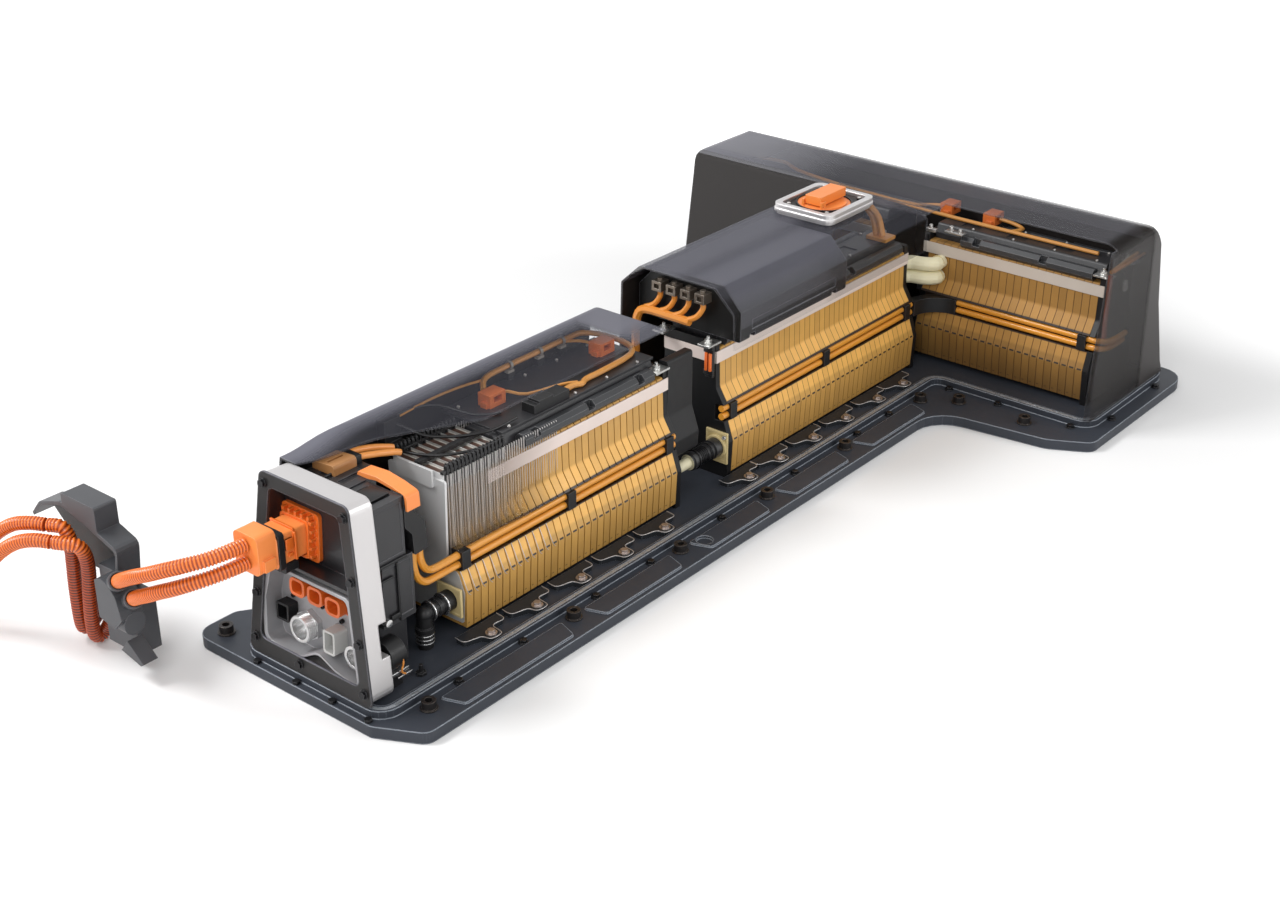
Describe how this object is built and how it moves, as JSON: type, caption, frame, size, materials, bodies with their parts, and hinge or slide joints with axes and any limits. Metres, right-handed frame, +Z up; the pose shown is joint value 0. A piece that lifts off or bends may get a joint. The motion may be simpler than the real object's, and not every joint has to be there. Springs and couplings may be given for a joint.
{
  "type": "electric car battery pack",
  "caption": "T-shaped traction battery pack with a cut-away cover over rows of framed cells, an angled connector face, a service disconnect and a corrugated cable set.",
  "frame": {"origin": "on the ground plane below the tray, midway along its length and width, measured without the free conduits, their bracket and their plug", "axes": "+X runs from the connector face to the crossbar at the rear, +Y to the pack's left, +Z up"},
  "size_m": [2.074, 1.094, 0.3915],
  "materials": {
    "tray": "satin",
    "cover_gasket": "matt",
    "front_cover": "satin",
    "rear_cover": "satin",
    "cover_bolts": "satin",
    "mount_bushings": "satin",
    "module_brackets": "satin",
    "bracket_bolts": "satin",
    "connector_housing": "cast, satin",
    "connector_panel": "cast, satin",
    "header_bowl": "satin",
    "power_header": "satin",
    "auxiliary_sockets": "satin",
    "signal_connector": "satin",
    "data_connector": "satin",
    "threaded_connector": "turned",
    "coolant_port": "turned",
    "power_plug": "satin",
    "plug_strap": "satin",
    "relay_boxes": "satin",
    "busbar_cap": "satin",
    "busbar_cover": "satin",
    "cable_ducts": "satin",
    "cell_frames_front": "satin",
    "cell_frames_middle": "satin",
    "cell_frames_right": "satin",
    "cell_frames_left": "satin",
    "cooling_fins": "satin",
    "cell_tabs": "satin",
    "end_plates": "satin",
    "side_straps": "matt",
    "top_boards": "satin",
    "top_rails": "satin",
    "channel_cables": "satin",
    "cable_clips": "satin",
    "front_harness": "satin",
    "harness_connectors": "satin",
    "harness_ties": "satin",
    "board_connector": "satin",
    "lug_plates": "satin",
    "electronics_box": "satin",
    "terminal_blocks": "satin",
    "box_leads": "satin",
    "rear_harness": "satin",
    "disconnect_frame": "cast, satin",
    "disconnect_socket": "satin",
    "service_plug": "satin",
    "service_lever": "satin",
    "disconnect_cables": "satin",
    "coolant_elbow": "satin",
    "coolant_link": "satin",
    "coolant_bends": "satin",
    "tray_fittings": "satin",
    "conduit_front_upper": "corrugated",
    "conduit_front_lower": "corrugated",
    "conduit_rear_upper": "corrugated",
    "conduit_rear_lower": "corrugated",
    "conduit_loops": "corrugated",
    "conduit_bracket": "satin",
    "conduit_fitting": "satin"
  },
  "bodies": {
    "pack": {"tray": "tray", "cover_gasket": "cover_gasket", "front_cover": "front_cover", "rear_cover": "rear_cover", "cover_bolts": "cover_bolts", "mount_bushings": "mount_bushings", "module_brackets": "module_brackets", "bracket_bolts": "bracket_bolts", "connector_housing": "connector_housing", "connector_panel": "connector_panel", "header_bowl": "header_bowl", "power_header": "power_header", "auxiliary_sockets": "auxiliary_sockets", "signal_connector": "signal_connector", "data_connector": "data_connector", "threaded_connector": "threaded_connector", "coolant_port": "coolant_port", "power_plug": "power_plug", "plug_strap": "plug_strap", "relay_boxes": "relay_boxes", "busbar_cap": "busbar_cap", "busbar_cover": "busbar_cover", "cable_ducts": "cable_ducts", "cell_frames_front": "cell_frames_front", "cell_frames_middle": "cell_frames_middle", "cell_frames_right": "cell_frames_right", "cell_frames_left": "cell_frames_left", "cooling_fins": "cooling_fins", "cell_tabs": "cell_tabs", "end_plates": "end_plates", "side_straps": "side_straps", "top_boards": "top_boards", "top_rails": "top_rails", "channel_cables": "channel_cables", "cable_clips": "cable_clips", "front_harness": "front_harness", "harness_connectors": "harness_connectors", "harness_ties": "harness_ties", "board_connector": "board_connector", "lug_plates": "lug_plates", "electronics_box": "electronics_box", "terminal_blocks": "terminal_blocks", "box_leads": "box_leads", "rear_harness": "rear_harness", "disconnect_frame": "disconnect_frame", "disconnect_socket": "disconnect_socket", "disconnect_cables": "disconnect_cables", "coolant_elbow": "coolant_elbow", "coolant_link": "coolant_link", "coolant_bends": "coolant_bends", "tray_fittings": "tray_fittings", "conduit_front_upper": "conduit_front_upper", "conduit_front_lower": "conduit_front_lower", "conduit_rear_upper": "conduit_rear_upper", "conduit_rear_lower": "conduit_rear_lower", "conduit_loops": "conduit_loops", "conduit_bracket": "conduit_bracket", "conduit_fitting": "conduit_fitting"},
    "service_plug": {"service_plug": "service_plug"},
    "service_lever": {"service_lever": "service_lever"}
  },
  "joints": [
    {"name": "plug_lift", "type": "slide", "parent": "pack", "child": "service_plug", "axis": [0, 0, 1], "range_m": [0, 0.06]},
    {"name": "lever_tilt", "type": "hinge", "parent": "service_plug", "child": "service_lever", "pos_m": [0.316, 0, 0.378], "axis": [0, -1, 0], "range_deg": [0, 90]}
  ]
}
